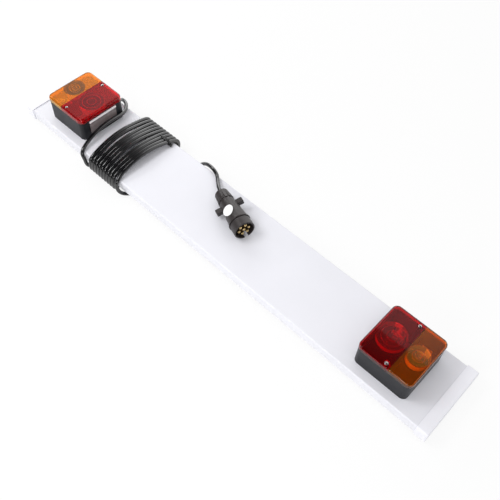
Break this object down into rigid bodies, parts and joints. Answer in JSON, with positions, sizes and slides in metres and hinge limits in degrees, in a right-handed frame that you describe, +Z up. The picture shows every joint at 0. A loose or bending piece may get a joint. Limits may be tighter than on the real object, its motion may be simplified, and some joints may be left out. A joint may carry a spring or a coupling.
{
  "type": "trailer lighting board",
  "caption": "White trailer lighting board with a square red and amber lamp at each end, black cable wound round it and a round multi pin plug.",
  "frame": {"origin": "on the floor under the middle of the board, in the plane of the fixing bolts' ends", "axes": "+X along the board towards the end away from the winding, +Y across the board, +Z up out of its front face"},
  "size_m": [0.94, 0.1668, 0.0797],
  "materials": {
    "white_plastic": "satin, faintly lined along its length",
    "lamp_black": "satin black moulding",
    "lens_red": "clear red, polished outside",
    "lens_amber": "clear amber, polished outside",
    "window_clear": "clear, frosted bar along its top",
    "seal_rubber": "matt black",
    "screw_chrome": "bright plated",
    "plated_steel": "zinc plated",
    "bulb_glass": "clear",
    "bulb_cap_metal": "plain",
    "cable_sheath": "smooth black, slight sheen",
    "cable_rubber": "matt black",
    "tie_plastic": "plain black",
    "plug_plastic": "satin black moulding",
    "pin_brass": "turned",
    "blank_label": "plain white"
  },
  "bodies": {
    "root": {"board_panel": "white_plastic", "cable_boot": "cable_rubber", "cable_feed": "cable_sheath", "cable_tail": "cable_sheath", "cable_tie": "tie_plastic", "cable_winding": "cable_sheath", "end_cap_left": "white_plastic", "end_cap_right": "white_plastic", "fixing_bolts_left": "plated_steel", "fixing_bolts_right": "plated_steel", "fixing_nuts_left": "plated_steel", "fixing_nuts_right": "plated_steel", "fixing_washers_left": "plated_steel", "fixing_washers_right": "plated_steel", "lamp_base_left": "lamp_black", "lamp_base_right": "lamp_black", "lens_amber_left": "lens_amber", "lens_amber_right": "lens_amber", "lens_red_left": "lens_red", "lens_red_right": "lens_red", "lens_screws_left": "screw_chrome", "lens_screws_right": "screw_chrome", "lens_seal_left": "seal_rubber", "lens_seal_right": "seal_rubber", "link_lead": "cable_sheath", "plate_window_left": "window_clear", "plate_window_right": "window_clear", "plug_body": "plug_plastic", "plug_contact_insert": "plug_plastic", "plug_gland_nut": "plug_plastic", "plug_label": "blank_label", "plug_pins": "pin_brass", "plug_skirt": "plug_plastic", "stop_bulb_cap_left": "bulb_cap_metal", "stop_bulb_cap_right": "bulb_cap_metal", "stop_bulb_holder_left": "plated_steel", "stop_bulb_holder_right": "plated_steel", "stop_bulb_left": "bulb_glass", "stop_bulb_right": "bulb_glass", "turn_bulb_cap_left": "bulb_cap_metal", "turn_bulb_cap_right": "bulb_cap_metal", "turn_bulb_holder_left": "plated_steel", "turn_bulb_holder_right": "plated_steel", "turn_bulb_left": "bulb_glass", "turn_bulb_right": "bulb_glass", "wire_grommet_left": "seal_rubber", "wire_grommet_right": "seal_rubber"}
  },
  "joints": []
}
